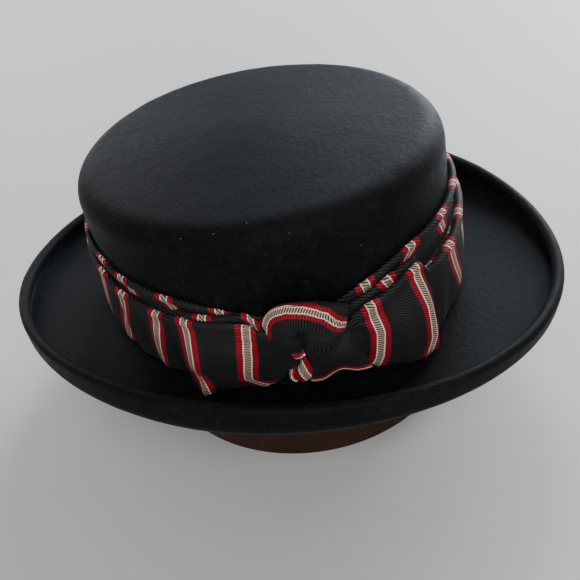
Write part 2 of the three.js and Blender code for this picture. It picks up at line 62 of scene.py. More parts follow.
LAYER_PITCH = 1.35
CLOTH_RADIUS = 97.0
MM_PER_DEGREE = 1.7

# The band round the crown, by turn in degrees from the knot side. Heights are shares of BAND_HEIGHT,
# fold says how far the middle roll is folded, belly, hem, stand and kink are shares of BAND_FLARE.
BAND_COLUMNS = ("turn", "top", "mid", "low", "fold", "belly", "hem", "lift", "bulk", "stand", "kink",
                "hump")
BAND_ROWS = [
    (-180, 0.97, 0.82, 0.68, 1, 0.2, 0.3, 0, 0.8, 0, 0, 0),
    (-110, 1.0, 0.83, 0.72, 1, 0.15, 0.2, 0, 0.6, 0, 0, 0),
    (-75, 1.07, 0.8, 0.94, 0, 0.1, 0.5, 0, 0.4, 0, 0, 0),
    (-61, 1.07, 0.8, 0.93, 0, 0.1, 0.14, 0, 0.4, 0, 0, 0),
    (-45, 1.05, 0.78, 0.91, 0, 0.1, 0, 0, 0.5, 0, 0, 0),
    (-33, 0.995, 0.76, 0.82, 0, 0.12, 0, 0, 0.7, 0, 0, 0),
    (-24, 0.99, 0.76, 0.805, 0, 0.12, 0, 0, 0.9, 0, 0, 0),
    (-18.5, 0.97, 0.79, 0.795, 0.25, 0.05, 0, 0.04, 1, 0, 0.05, 0),
    (-14.5, 0.96, 0.82, 0.815, 0.7, 0.1, 0.15, 0.02, 1, 0, 0.1, 0),
    (-10, 0.95, 0.86, 0.835, 1, 0.2, 0.62, 0, 1, 0, 0.3, 0),
    (-6, 0.93, 0.865, 0.835, 1, 0.28, 0.93, 0, 1, 0, 0.5, 0.2),
    (-3, 0.91, 0.865, 0.84, 1, 0.3, 0.4, 0, 1, 0, 0.25, 0.5),
    (1, 0.885, 0.87, 0.84, 1, 0.32, 0.15, 0, 1, 0, 0.15, 0.9),
    (5, 0.855, 0.885, 0.835, 1, 0.35, 0.05, 0, 0.9, 0, 0.1, 1),
    (9, 0.835, 0.9, 0.81, 1, 0.25, 0.1, 0, 0.9, 0, 0.05, 1),
    (13, 0.8, 0.78, 0.72, 1, 0.05, 0.05, 0.03, 0.4, 0, 0, 0.3),
    (17, 0.76, 0.68, 0.6, 1, 0, 0, 0.12, 0.2, 0, 0, 0),
    (31, 0.76, 0.66, 0.57, 1, 0, 0, 0.15, 0.1, 0, 0, 0),
    (35, 0.82, 0.7, 0.62, 1, 0, 0, 0.1, 0.3, 0, 0, 0),
    (38.5, 0.87, 0.78, 0.71, 1, 0.12, 0.1, 0.03, 0.8, 0, 0, 0),
    (42.4, 0.905, 0.83, 0.775, 1, 0.2, 0.28, 0, 1.1, 0, 0, 0),
    (46.5, 0.945, 0.87, 0.8, 1, 0.25, 0.5, 0, 1.1, 0, 0, 0),
    (51, 0.98, 0.895, 0.825, 1, 0.3, 0.78, 0, 1.1, 0, 0, 0),
    (56, 1.01, 0.9, 0.86, 1, 0.3, 0.97, 0, 1.1, 0, 0, 0),
    (59.5, 1.025, 0.905, 0.88, 0.9, 0.22, 1.05, 0, 1, 0.02, 0, 0),
    (63.5, 1.035, 0.86, 0.75, 0, 0.1, 0.6, 0, 1.2, 0.2, 0, 0),
    (67, 1.035, 0.86, 0.76, 0, 0.05, 0.3, 0, 1.3, 0.26, 0, 0),
    (75, 1.04, 0.86, 0.77, 0, 0.05, 0.1, 0, 1.3, 0.18, 0, 0),
    (95, 1.05, 0.86, 0.8, 0, 0.1, 0.12, 0, 1.2, 0.05, 0, 0),
    (125, 1.0, 0.84, 0.76, 1, 0.15, 0.3, 0, 0.9, 0, 0, 0),
    (180, 0.97, 0.82, 0.68, 1, 0.2, 0.3, 0, 0.8, 0, 0, 0),
]

# Where stripes cross each fold of the band: turns in degrees at STRIPE_SHARES of the way down it.
STRIPE_SHARES = (0, 0.45, 0.82, 1)
STRIPES = {
    "top": [(-62.8, -62.4, -62, -61.6), (-43, -42.4, -41.5, -41), (-32.2, -31.2, -30, -29.6),
            (-14.8, -13.8, -13, -12.7), (1.5, 3, 4, 4.6), (42.6, 43.6, 44.3, 44.6),
            (59.4, 60.3, 57.5, 56), (76.4, 78, 80, 81), (92, 94, 95.5, 96)],
    "mid": [(-19, -19, -19, -19), (-2.6, -2.5, -2.4, -2.4), (10.7, 10.8, 11, 11),
            (48.4, 49.6, 50.4, 50.8), (66, 66.5, 67, 67), (83, 83.5, 84, 84), (100, 100.5, 101, 101)],
    "low": [(-62.5, -68, -74, -79), (-44, -49, -55, -59), (-33, -36.6, -41, -44), (-18.1, -21, -23.5, -25),
            (-7.7, -7.4, -7.9, -5.6), (9.4, 7.8, 5.8, 11.6),
            (41.7, 43.6, 42.6, 41.4), (57.6, 59.4, 58.6, 56), (75, 80, 86, 90), (90.5, 95, 100, 104),
            (108, 112, 116, 120)],
}

# Drapes of the lower panel: turn at the fold, turn at the hem, half width in degrees, how far out.
DRAPES = [
    (-37.5, -39, 2.0, -1.2), (-26, -27.5, 2.4, -1.6), (-13.8, -14.8, 1.5, -2.6), (-20, -21, 2.4, 1.2),
    (3.0, 1.5, 3.4, 1.4), (13.0, 13.5, 1.6, -1.8), (38.2, 40.6, 1.0, -2.0), (36.6, 38.4, 0.8, -1.4),
    (46.8, 46.2, 1.4, -0.9), (51.5, 52, 3.4, 1.6), (64.5, 63.8, 1.2, -1.6),
]
# Pinches beside the knot: turn, height, depth of the small rays round them.
PINCHES = [(13.5, 41, 1.0), (35.5, 38, 1.3)]
STRIPE_PITCH = 17.0
RIB_PITCH = 1.2


def rad(degrees):
    return np.radians(degrees)


def mix(a, b, share):
    return a + (b - a) * share


def smooth(x, low, high):
    share = np.clip((x - low) / (high - low), 0, 1)
    return share * share * (3 - 2 * share)


def around_crown(turn, out, height):
    """Point at a turn about the crown, a distance outside its base oval, a height above the brim."""
    shoulder = SHOULDER_RADIUS + CROWN_TAPER + FELT
    half_width = CROWN_WIDTH / 2 + out
    half_length = CROWN_LENGTH / 2 + out
    share = half_width / (CROWN_WIDTH / 2 - shoulder)
    half_length = np.where(out < -shoulder, (CROWN_LENGTH / 2 - shoulder) * share, half_length)
    x = half_width * np.cos(turn)
    y = half_length * np.sin(turn)
    rise = REAR_RISE * (y / CROWN_LENGTH) * (height / CROWN_HEIGHT)
    return np.stack([x, y + CROWN_SETBACK, SWEATBAND_DROP + height + rise], axis=-1)


def across_brim(turn, out, height):
    """Point on the brim, a distance out from the crown's base towards the brim's outline."""
    base_x = CROWN_WIDTH / 2 * np.cos(turn)
    base_y = CROWN_LENGTH / 2 * np.sin(turn) + CROWN_SETBACK
    way_x = BRIM_WIDTH / 2 * np.cos(turn) - base_x
    way_y = BRIM_LENGTH / 2 * np.sin(turn) - base_y
    length = np.hypot(way_x, way_y)
    x = base_x + way_x / length * out
    y = base_y + way_y / length * out
    return np.stack([x, y, SWEATBAND_DROP + height + 0 * x], axis=-1)


def beside_crown(turn, out, height):
    """Point measured out from the crown's tapering wall."""
    lean = CROWN_TAPER * height / (CROWN_HEIGHT - SHOULDER_RADIUS)
    return around_crown(turn, out - lean, height)


def brim_wave(turn, cos_key, sin_key):
    share = sum(row[cos_key] * np.cos(row["waves"] * turn) + row[sin_key] * np.sin(row["waves"] * turn)
                for row in BRIM_WAVES)
    return share * BRIM_SIDE_LIFT


def brim_curl(turn):
    side = 0.5 + 0.5 * math.cos(2 * turn)
    lift = mix(-BRIM_END_DROP, BRIM_SIDE_LIFT, side) + brim_wave(turn, "lift_cos", "lift_sin")
    radius = mix(CURL_RADIUS_END, CURL_RADIUS_SIDE, side)
    end = rad(mix(CURL_ANGLE_END, CURL_ANGLE_SIDE, side))
    lip = mix(LIP_HEIGHT_END, LIP_HEIGHT_SIDE, side)
    reach_x = (BRIM_WIDTH - CROWN_WIDTH) / 2 * math.cos(turn)
    reach_y = (BRIM_LENGTH - CROWN_LENGTH) / 2 * math.sin(turn) - CROWN_SETBACK
    reach = math.hypot(reach_x, reach_y) + brim_wave(turn, "reach_cos", "reach_sin")
    lip_reach = LIP_THICKNESS / 2 - (LIP_THICKNESS - FELT) / 2 * math.sin(end) + lip * math.cos(end)
    edge = reach - lip_reach - radius * math.sin(min(end, math.pi / 2))
    start = math.atan(2 * lift / edge)
    return lift, radius, start, end, lip, edge + radius * math.sin(start)


def brim_height(turn, out):
    lift, radius, start, end, lip, flat = brim_curl(turn)
    return lift * (out / flat) ** 2


def offset_path(path, distance):
    """Moves an open path of (out, height) points sideways by a distance at each point."""
    steps = np.diff(path, axis=0)
    steps /= np.linalg.norm(steps, axis=1)[:, None] + 1e-9
    before = np.vstack([steps[:1], steps])
    after = np.vstack([steps, steps[-1:]])
    normal = np.stack([-before[:, 1] - after[:, 1], before[:, 0] + after[:, 0]], axis=-1)
    normal /= np.maximum(1 + (before * after).sum(axis=1), 0.5)[:, None]
    return path + normal * np.asarray(distance)[:, None]


def new_object(name, vertices, faces, material):
    mesh = bpy.data.meshes.new(name)
    mesh.from_pydata([tuple(v) for v in vertices], [], [tuple(f) for f in faces])
    mesh.update()
    mesh.validate()
    for polygon in mesh.polygons:
        polygon.use_smooth = True
    piece = bpy.data.objects.new(name, mesh)
    bpy.context.scene.collection.objects.link(piece)
    mesh.materials.append(material)
    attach(piece, "root")
    return piece


def grid_faces(rows, columns, wrap_rows=False, wrap_columns=False):
    faces = []
    for r in range(rows if wrap_rows else rows - 1):
        for c in range(columns if wrap_columns else columns - 1):
            r2, c2 = (r + 1) % rows, (c + 1) % columns
            faces.append((r * columns + c, r * columns + c2, r2 * columns + c2, r2 * columns + c))
    return faces


def outward(vertices, faces):
    """Turns the faces over if the closed mesh has them facing in."""
    v = np.asarray(vertices)
    volume = sum(np.dot(v[f[0]], np.cross(v[f[1]], v[f[2]])) + np.dot(v[f[0]], np.cross(v[f[2]], v[f[-1]]))
                 for f in faces)
    return faces if volume > 0 else [tuple(reversed(f)) for f in faces]


def add_attribute(piece, name, values):
    layer = piece.data.attributes.new(name, "FLOAT", "POINT")
    layer.data.foreach_set("value", np.asarray(values, dtype=np.float32))


# Materials

class Nodes:
    """Short way of writing a node tree."""

    def __init__(self, name):
        self.material = bpy.data.materials.new(name)
        self.material.use_nodes = True
        self.tree = self.material.node_tree
        self.shader = self.tree.nodes["Principled BSDF"]

    def add(self, kind, **settings):
        node = self.tree.nodes.new("ShaderNode" + kind)
        for key, value in settings.items():
            if key == "inputs":
                for socket, content in value.items():
                    self.connect(node.inputs[socket], content)
            else:
                setattr(node, key, value)
        return node

    def connect(self, socket, content):
        if isinstance(content, bpy.types.NodeSocket):
            self.tree.links.new(content, socket)
        else:
            socket.default_value = content

    def math(self, operation, a, b=0.0, c=0.0):
        node = self.tree.nodes.new("ShaderNodeMath")
        node.operation = operation
        for socket, content in zip(node.inputs, (a, b, c)):
            self.connect(socket, content)
        return node.outputs[0]

    def position(self):
        return self.add("TexCoord").outputs["Object"]

    def noise(self, scale, detail=2.0, roughness=0.5, vector=None, distortion=0.0):
        node = self.add("TexNoise", inputs={
            "Vector": vector or self.position(), "Scale": scale, "Detail": detail,
            "Roughness": roughness, "Distortion": distortion})
        return node.outputs["Fac"]

    def ramp(self, fac, stops):
        node = self.tree.nodes.new("ShaderNodeValToRGB")
        self.connect(node.inputs[0], fac)
        ramp = node.color_ramp
        while len(ramp.elements) < len(stops):
            ramp.elements.new(0.5)
        for element, (at, color) in zip(ramp.elements, stops):
            element.position = at
            element.color = (*color, 1)
        return node.outputs[0]

    def between(self, value, low, high):
        return self.add("MapRange", inputs={"Value": value, "From Min": low, "From Max": high}).outputs[0]

    def mix(self, fac, a, b, blend="MIX"):
        node = self.tree.nodes.new("ShaderNodeMix")
        node.data_type = "RGBA"
        node.blend_type = blend
        for socket, content in ((node.inputs[0], fac), (node.inputs[6], a), (node.inputs[7], b)):
            if isinstance(content, tuple) and len(content) == 3:
                content = (*content, 1)
            self.connect(socket, content)
        return node.outputs[2]

    def bump(self, height, distance, strength=1.0, normal=None):
        inputs = {"Height": height, "Distance": distance, "Strength": strength}
        if normal:
            inputs["Normal"] = normal
        return self.add("Bump", inputs=inputs).outputs[0]

    def set(self, **values):
        for name, content in values.items():
            self.connect(self.shader.inputs[name.replace("_", " ")], content)


def felt_material():
    n = Nodes("felt")
    cloud = n.noise(22, 3, 0.55)
    mottle = n.noise(230, 4, 0.65)
    fibre = n.noise(900, 3, 0.7, distortion=1.2)
    hair = n.noise(2600, 2, 0.6, distortion=2.0)
    tone = n.math("ADD", n.math("MULTIPLY", cloud, 0.25), n.math("MULTIPLY", mottle, 0.5))
    tone = n.math("ADD", tone, n.math("MULTIPLY", fibre, 0.25))
    base = n.ramp(tone, [(0.34, (0.0018, 0.0021, 0.0024)), (0.5, (0.0040, 0.0044, 0.0048)),
                         (0.66, (0.0090, 0.0098, 0.0108))])
    n.set(Base_Color=base, Roughness=n.between(mottle, -0.6, 1.7))
    n.set(Specular_IOR_Level=0.045, Sheen_Weight=0.018, Sheen_Roughness=0.45)
    n.set(Sheen_Tint=(0.60, 0.76, 1.0, 1))
    pebble = n.noise(430, 2, 0.5)
    relief = n.math("ADD", n.math("MULTIPLY", mottle, 0.4), n.math("MULTIPLY", pebble, 0.6))
    relief = n.math("ADD", relief, n.math("MULTIPLY", n.math("ADD", fibre, hair), 0.25))
    n.set(Normal=n.bump(relief, 0.0009, 0.55))
    return n.material


def hair_material(name, dark, light):
    n = Nodes(name)
    n.set(Base_Color=n.mix(n.noise(400, 2), dark, light), Roughness=0.8, Specular_IOR_Level=0.1)
    return n.material


def cloth_material():
    n = Nodes("tie_cloth")
    weave = n.add("Attribute", attribute_name="weave").outputs["Fac"]
    stripe = n.add("Attribute", attribute_name="stripe").outputs["Fac"]
    wander = n.math("MULTIPLY", n.math("SUBTRACT", n.noise(160, 2), 0.5), 0.5)
    rib = n.math("SINE", n.math("MULTIPLY", n.math("ADD", weave, wander), 2 * math.pi / RIB_PITCH))
    wobble = n.math("MULTIPLY", n.math("SUBTRACT", n.noise(500, 2), 0.5), 0.2)
    at = n.math("ADD", stripe, n.math("ADD", n.math("MULTIPLY", rib, 0.14), wobble))
    # The rib colours are painted light and shade: each cloth colour runs from painted shade in the weave's
    # grooves to a painted highlight on its ridges, as well as the rib bump.
    lit = n.between(rib, -0.8, 0.8)
    black = n.mix(lit, (0.0022, 0.0024, 0.0026), (0.0230, 0.0225, 0.0212))
    grey = n.mix(lit, (0.018, 0.013, 0.010), (0.44, 0.32, 0.235))
    red = n.mix(lit, (0.075, 0.0020, 0.0070), (0.38, 0.0090, 0.0220))
    cream = n.mix(lit, (0.66, 0.55, 0.44), (0.95, 0.84, 0.66))
    color = n.mix(n.between(at, 1.62, 1.78), grey, cream)
    color = n.mix(n.between(at, 2.22, 2.38), color, red)
    color = n.mix(n.between(at, 5.45, 5.7), color, black)
    shade = n.between(n.noise(70, 3), 0.2, 0.8)
    color = n.mix(0.22, color, n.mix(shade, (0.5, 0.5, 0.5), (1, 1, 1)), "MULTIPLY")
    n.set(Base_Color=color, Roughness=n.between(rib, -7.0, 5.0), Specular_IOR_Level=0.12)
    n.set(Sheen_Weight=0.02, Sheen_Roughness=0.4, Sheen_Tint=(0.9, 0.92, 1.0, 1))
    fine = n.bump(rib, 0.00014, 0.5)
    n.set(Normal=n.bump(n.noise(260, 3, 0.6), 0.0004, 0.2, fine))
    return n.material


def leather_material():
    n = Nodes("leather")
    tone = n.noise(30, 4, 0.6)
    color = n.ramp(tone, [(0.25, (0.015, 0.0048, 0.0022)), (0.6, (0.025, 0.0082, 0.0036)),
                          (0.85, (0.038, 0.013, 0.0058))])
    cells = n.add("TexVoronoi", feature="DISTANCE_TO_EDGE", inputs={"Vector": n.position(), "Scale": 620})
    grain = n.between(cells.outputs["Distance"], 0.0, 0.35)
    n.set(Base_Color=color, Roughness=n.between(n.noise(120, 3), -0.2, 1.5), Specular_IOR_Level=0.15)
    n.set(Normal=n.bump(n.math("ADD", grain, n.math("MULTIPLY", tone, 0.6)), 0.0003, 0.6))
    return n.material


def floor_material():
    n = Nodes("floor")
    tone = n.noise(3, 3)
    n.set(Base_Color=n.mix(tone, (0.47, 0.455, 0.43), (0.52, 0.505, 0.48)), Roughness=0.55)
    n.set(Specular_IOR_Level=0.3)
    return n.material


# Felt body

def felt_path(turn):
    """Middle line of crown and brim at one turn, with the felt's thickness to both sides."""
    half = FELT / 2
    wall_top = -half - CROWN_TAPER
    shoulder = SHOULDER_RADIUS - half
    wall = CROWN_HEIGHT - half - shoulder
    points = []
    slope = math.atan(DOME_POWER * DOME_RISE / (CROWN_WIDTH / 2 - shoulder))
    reach = CROWN_WIDTH / 2 + wall_top - shoulder * (1 - math.sin(slope))
    for share in np.linspace(0, 1, 40)[:-1]:
        rise = DOME_RISE * (1 - share ** DOME_POWER)
        points.append((-CROWN_WIDTH / 2 + reach * share, wall + shoulder * math.cos(slope) + rise))
    for angle in np.linspace(math.pi / 2 - slope, 0, 14):
        points.append((wall_top - shoulder + shoulder * math.cos(angle), wall + shoulder * math.sin(angle)))
    for share in np.linspace(1, 0, 24)[1:-1]:
        height = mix(BREAK_RADIUS, wall, share)
        points.append((-half - CROWN_TAPER * height / wall, height))
    for angle in np.linspace(0, math.pi / 2, 8):
        points.append((-half + BREAK_RADIUS * (1 - math.cos(angle)), BREAK_RADIUS * (1 - math.sin(angle))))
    on_crown = len(points)
    lift, radius, start, end, lip, flat = brim_curl(turn)
    first = BREAK_RADIUS - half
    for share in np.linspace(0, 1, 26)[1:]:
        out = mix(first, flat, share)
        points.append((out, brim_height(turn, out)))
    flat_end = len(points) - 1
    for share in np.linspace(0, 1, 13)[1:]:
        angle = mix(start, end, share)
        points.append((flat + radius * (math.sin(angle) - math.sin(start)),
                       lift + radius * (math.cos(start) - math.cos(angle))))
    tip = points[-1]
    for share in np.linspace(0, 1, 8)[1:]:
        points.append((tip[0] + lip * share * math.cos(end), tip[1] + lip * share * math.sin(end)))
    path = np.array(points)
    extra = LIP_THICKNESS - FELT
    along = np.clip((np.arange(len(path)) - flat_end) / (len(path) - 1 - flat_end), 0, 1)
    upper = offset_path(path, half + extra * along ** 1.6)
    lower = offset_path(path, np.full(len(path), -half))
    centre = path[-1] + extra / 2 * np.array([-math.sin(end), math.cos(end)])
    swings = end + np.linspace(math.pi / 2, -math.pi / 2, 12)[1:-1]
    cap = centre + LIP_THICKNESS / 2 * np.stack([np.cos(swings), np.sin(swings)], axis=-1)
    return upper, cap, lower[::-1], on_crown


def felt_body(material):
    stations = 300
    rings = []
    for turn in np.linspace(0, 2 * math.pi, stations, endpoint=False):
        upper, cap, lower, on_crown = felt_path(turn)
        line = np.vstack([upper, cap, lower])
        crown = np.zeros(len(line), bool)
        crown[:on_crown] = True
        crown[-on_crown:] = True
        on_brim = across_brim(turn, line[:, 0], line[:, 1])
        rings.append(np.where(crown[:, None], around_crown(turn, line[:, 0], line[:, 1]), on_brim))
    rings = np.array(rings)
    count = rings.shape[1]
    vertices = [rings[:, 0].mean(axis=0)] + list(rings[:, 1:-1].reshape(-1, 3)) + [rings[:, -1].mean(axis=0)]
    inner = count - 2
    faces = [(1 + a, 1 + b, 1 + c, 1 + d) for a, b, c, d in grid_faces(stations, inner, wrap_rows=True)]
    last = len(vertices) - 1
    for s in range(stations):
        after = (s + 1) % stations
        faces.append((0, 1 + s * inner, 1 + after * inner))
        faces.append((last, after * inner + inner, s * inner + inner))
    vertices = np.array(vertices)
    wobble = np.array([noise.noise(Vector(v) * 0.02) for v in vertices]) * 0.5
    fine = np.array([noise.noise(Vector(v) * 0.09) for v in vertices]) * 0.16
    vertices[:, 2] += (wobble + fine) * smooth(vertices[:, 2], 60, 70)
    piece = new_object("felt_shell", vertices * MM, outward(vertices, faces), material)
    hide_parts("felt_body")
    return piece


def hairs(name, shell, material, count, seed, length, thickness, lowest):
    """Short bent hairs lying on the felt, rooted just under its skin."""
    rng = np.random.default_rng(seed)
    mesh = shell.data
    centres = np.array([p.center for p in mesh.polygons])
    normals = np.array([p.normal for p in mesh.polygons])
    areas = np.array([p.area for p in mesh.polygons])
    shown = (centres[:, 2] > lowest * MM) & (normals[:, 2] > -0.2)
    shown &= np.hypot(centres[:, 0], centres[:, 1]) > 0.02
    areas = np.where(shown, areas, 0)
    picked = rng.choice(len(areas), count, p=areas / areas.sum())
    normal = normals[picked]
    root = centres[picked] + rng.normal(0, 0.0009, (count, 3))
    root -= normal * ((root - centres[picked]) * normal).sum(axis=1)[:, None]
    way = np.cross(normal, rng.normal(0, 1, (count, 3)))
    way /= np.linalg.norm(way, axis=1)[:, None]
    side = np.cross(normal, way)
    size = rng.uniform(*length, count)[:, None] * MM
    bend = rng.normal(0, 0.35, (count, 1))
    lift = rng.uniform(0.02, 0.16, (count, 1))
    vertices, faces = [], []
    for k, share in enumerate((0, 0.35, 0.7, 1)):
        spine = root + size * (way * share + side * bend * share ** 2 + normal * lift * math.sin(2.6 * share))
        spine -= normal * 0.0001
        thick = rng.uniform(*thickness, (count, 1)) * MM * (1 - 0.5 * share)
        for angle in np.linspace(0, 2 * math.pi, 3, endpoint=False):
            vertices.append(spine + thick * (side * math.cos(angle) + normal * math.sin(angle)))
    vertices = np.array(vertices).transpose(1, 0, 2)
    for hair in range(count):
        start = hair * 12
        for ring in range(3):
            for edge in range(3):
                a, b = start + ring * 3 + edge, start + ring * 3 + (edge + 1) % 3
                faces.append((a, b, b + 3, a + 3))
        faces.append((start + 2, start + 1, start))
        faces.append((start + 9, start + 10, start + 11))
    flat = vertices.reshape(-1, 3)
    return new_object(name, flat, outward(flat, faces), material)


# Band of folded cloth

def band_row(degrees):
    wrapped = (degrees + 180) % 360 - 180
    turns = [row[0] for row in BAND_ROWS]
    after = max(1, next((i for i, turn in enumerate(turns) if turn > wrapped), len(turns) - 1))
    a, b = np.array(BAND_ROWS[after - 1], float), np.array(BAND_ROWS[after], float)
    share = smooth(wrapped, a[0], b[0])
    return dict(zip(BAND_COLUMNS, mix(a, b, share)))


def crowding(gap, depth):
    return float(np.clip((depth + 1.5 * CLOTH - gap) / (1.5 * CLOTH), 0, 1))


def band_path(degrees):
    """The cloth's line at one turn: (out, height) points and the fold that each belongs to."""
    row = band_row(degrees)
    turn = math.radians(degrees)
    pitch = LAYER_PITCH
    inner = CLEARANCE + 0.5
    spread = ROLL_SPREAD * row["bulk"]
    top_spread = spread * (1 - 0.8 * row["hump"])
    mid_spread = spread * (1 + 0.7 * row["hump"])
    top, mid, low = (BAND_HEIGHT * row[key] for key in ("top", "mid", "low"))
    fold = row["fold"]
    first = inner + pitch * crowding(top - mid, FOLD_TUCK)
    second = mix(inner + CLEARANCE, first + 2 * pitch, crowding(mid - low, FOLD_TUCK + pitch))
    plain_face = inner + pitch * crowding(top - low, FOLD_TUCK)
    face = mix(plain_face, second, fold)
    roll = face + BAND_FLARE * row["stand"]
    valley = low - FOLD_TUCK
    face_top = top - FOLD_TUCK - pitch
    folded = [
        (first, mid - FOLD_TUCK), (first + pitch, mid - FOLD_TUCK), (first + pitch, mid - pitch * 1.5),
        (first + pitch * 1.5 + mid_spread * 0.4, mid),
        (first + pitch * 2 + mid_spread * 0.8, mid - pitch * 1.3),
        (first + pitch * 2, mid - FOLD_TUCK - pitch * 0.3),
    ]
    middle = []
    for i, point in enumerate(folded):
        share = (i + 1) / (len(folded) + 1)
        middle.append((mix(mix(first, plain_face, share), point[0], fold),
                       mix(mix(face_top, valley, share), point[1], fold)))
    flat_tier = "mid" if fold > 0.5 else "top"
    path = [
        (inner, top - FOLD_TUCK, "top"), (inner, top - pitch * 1.5, "top"),
        (inner + pitch * 0.5 + top_spread * 0.4, top, "top"),
        (inner + pitch + top_spread * 0.8, top - pitch * 1.3, "top"),
        (mix(inner + pitch, first, fold), max(face_top, middle[0][1] + pitch), "top"),
        *[(o, h, "top" if i < 1 else flat_tier) for i, (o, h) in enumerate(middle)],
        (face, valley, flat_tier), (roll + pitch, valley, "low"), (roll + pitch, low - pitch * 1.6, "low"),
        (roll + pitch * 1.6 + spread * 0.5, low, "low"),
        (roll + pitch * 2.2 + spread, low - pitch * 1.6, "low"),
        (roll + pitch * 2 + spread * 0.5, valley - pitch, "low"),
    ]
    hem_out = HEM_STANDOFF + BAND_FLARE * row["hem"]
    hem_height = brim_height(turn, hem_out) + FELT / 2 + CLEARANCE + 1.0 + BAND_HEIGHT * row["lift"]
    start = path[-1]
    for share in (0.3, 0.58, 0.8):
        belly = BAND_FLARE * (row["belly"] * math.sin(math.pi * share) - row["kink"] * (share > 0.7))
        path.append((mix(start[0], hem_out, share) + belly, mix(start[1], hem_height, share), "low"))
    path.append((hem_out, hem_height, "low"))
    face_end = mix(low, top - 14, fold)
    return path, {"top": (top, face_end), "mid": (mid, mid - 9), "low": (low, hem_height)}


def rounded(points, cuts):
    """Corner cutting that keeps both ends, for rows of numbers."""
    for _ in range(cuts):
        a, b = points[:-1], points[1:]
        between = np.empty((2 * len(a), points.shape[1]))
        between[0::2] = 0.75 * a + 0.25 * b
        between[1::2] = 0.25 * a + 0.75 * b
        points = np.vstack([points[:1], between[1:-1], points[-1:]])
    return points


def drape(degrees, height, share):
    """How far the lower panel hangs in or out of its plain section."""
    out = 0.0
    for upper, lower, width, depth in DRAPES:
        apart = (degrees - mix(upper, lower, share)) / (width * mix(0.7, 1.25, share))
        out += depth * math.exp(-apart * apart) * float(smooth(share, 0.08, 0.4))
    for at, level, depth in PINCHES:
        x, y = (degrees - at) * MM_PER_DEGREE, height - level
        away = math.hypot(x, y)
        out += depth * math.sin(7 * math.atan2(y, x) + at) * math.exp(-away / 11) * float(smooth(away, 1, 6))
    return out


def stripe_distances(points, turns, tiers, shares):
    """Distance in millimetres, along the cloth round the hat, to the nearest stripe's middle."""
    steps = np.linalg.norm(np.roll(points, -1, axis=0) - points, axis=2)
    run = np.vstack([np.zeros(points.shape[1]), np.cumsum(steps, axis=0)])
    around = np.append(turns, turns[0] + 360)
    distances = np.full(points.shape[:2], 99.0)
    for level, name in enumerate(("top", "mid", "low")):
        rows = np.array(STRIPES[name], float)
        first, last = rows[0], rows[-1]
        before = [first[0] - STRIPE_PITCH * k + (first - first[0]) * 0.6 ** k for k in range(1, 9)]
        after = [last[0] + STRIPE_PITCH * k + (last - last[0]) * 0.6 ** k for k in range(1, 9)]
        for row in [*rows, *before, *after]:
            if row[0] < -180 or row[0] > 180:
                continue
            centre = np.interp(shares, STRIPE_SHARES, row)
            for j in range(points.shape[1]):
                here = np.interp(centre[:, j], around, run[:, j])
                apart = np.abs(run[:-1, j] - here)
                shown = (tiers[:, j] == level) & ((shares[:, j] < 0.999) | (level > 0))
                distances[:, j] = np.where(shown, np.minimum(distances[:, j], apart), distances[:, j])
    return distances


def hat_band(material):
    turns = np.arange(-180, 180, 0.75)
    names = ("top", "mid", "low")
    lines, tiers, shares, runs = [], [], [], []
    for degrees in turns:
        path, spans = band_path(degrees)
        points = rounded(np.array([(o, h, names.index(tier)) for o, h, tier in path]), 3)
        runs.append(np.concatenate([[0], np.cumsum(np.linalg.norm(np.diff(points[:, :2], axis=0), axis=1))]))
        tier = np.round(points[:, 2]).astype(int)
        high = np.array([spans[names[k]][0] for k in tier])
        low = np.array([spans[names[k]][1] for k in tier])
        share = np.clip((high - points[:, 1]) / (high - low), 0, 1)
        for k in np.flatnonzero(tier == 2):
            points[k, 0] += drape(degrees, points[k, 1], share[k])
        lines.append(points[:, :2])
        tiers.append(tier)
        shares.append(share)
    lines, tiers, shares, runs = (np.array(a) for a in (lines, tiers, shares, runs))
    count = lines.shape[1]
    sides = []
    for sign in (0, 1, -1):
        side = []
        for degrees, line in zip(turns, lines):
            moved = offset_path(line, np.full(count, sign * CLOTH / 2))
            side.append(beside_crown(math.radians(degrees), moved[:, 0], moved[:, 1]))
        sides.append(np.array(side))
    stripe = stripe_distances(sides[0], turns, tiers, shares)
    weave = 0.9 * runs - 0.45 * CLOTH_RADIUS * rad(turns)[:, None]
    values = np.stack([weave, stripe], axis=-1)
    vertices = np.concatenate([sides[1], sides[2][:, ::-1]], axis=1)
    values = np.concatenate([values, values[:, ::-1]], axis=1).reshape(-1, 2)
    faces = grid_faces(len(turns), 2 * count, wrap_rows=True, wrap_columns=True)
    flat = vertices.reshape(-1, 3)
    piece = new_object("folded_band", flat * MM, outward(flat, faces), material)
    for i, name in enumerate(("weave", "stripe")):
        add_attribute(piece, name, values[:, i])
    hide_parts("hat_band")
    return piece


# Knot

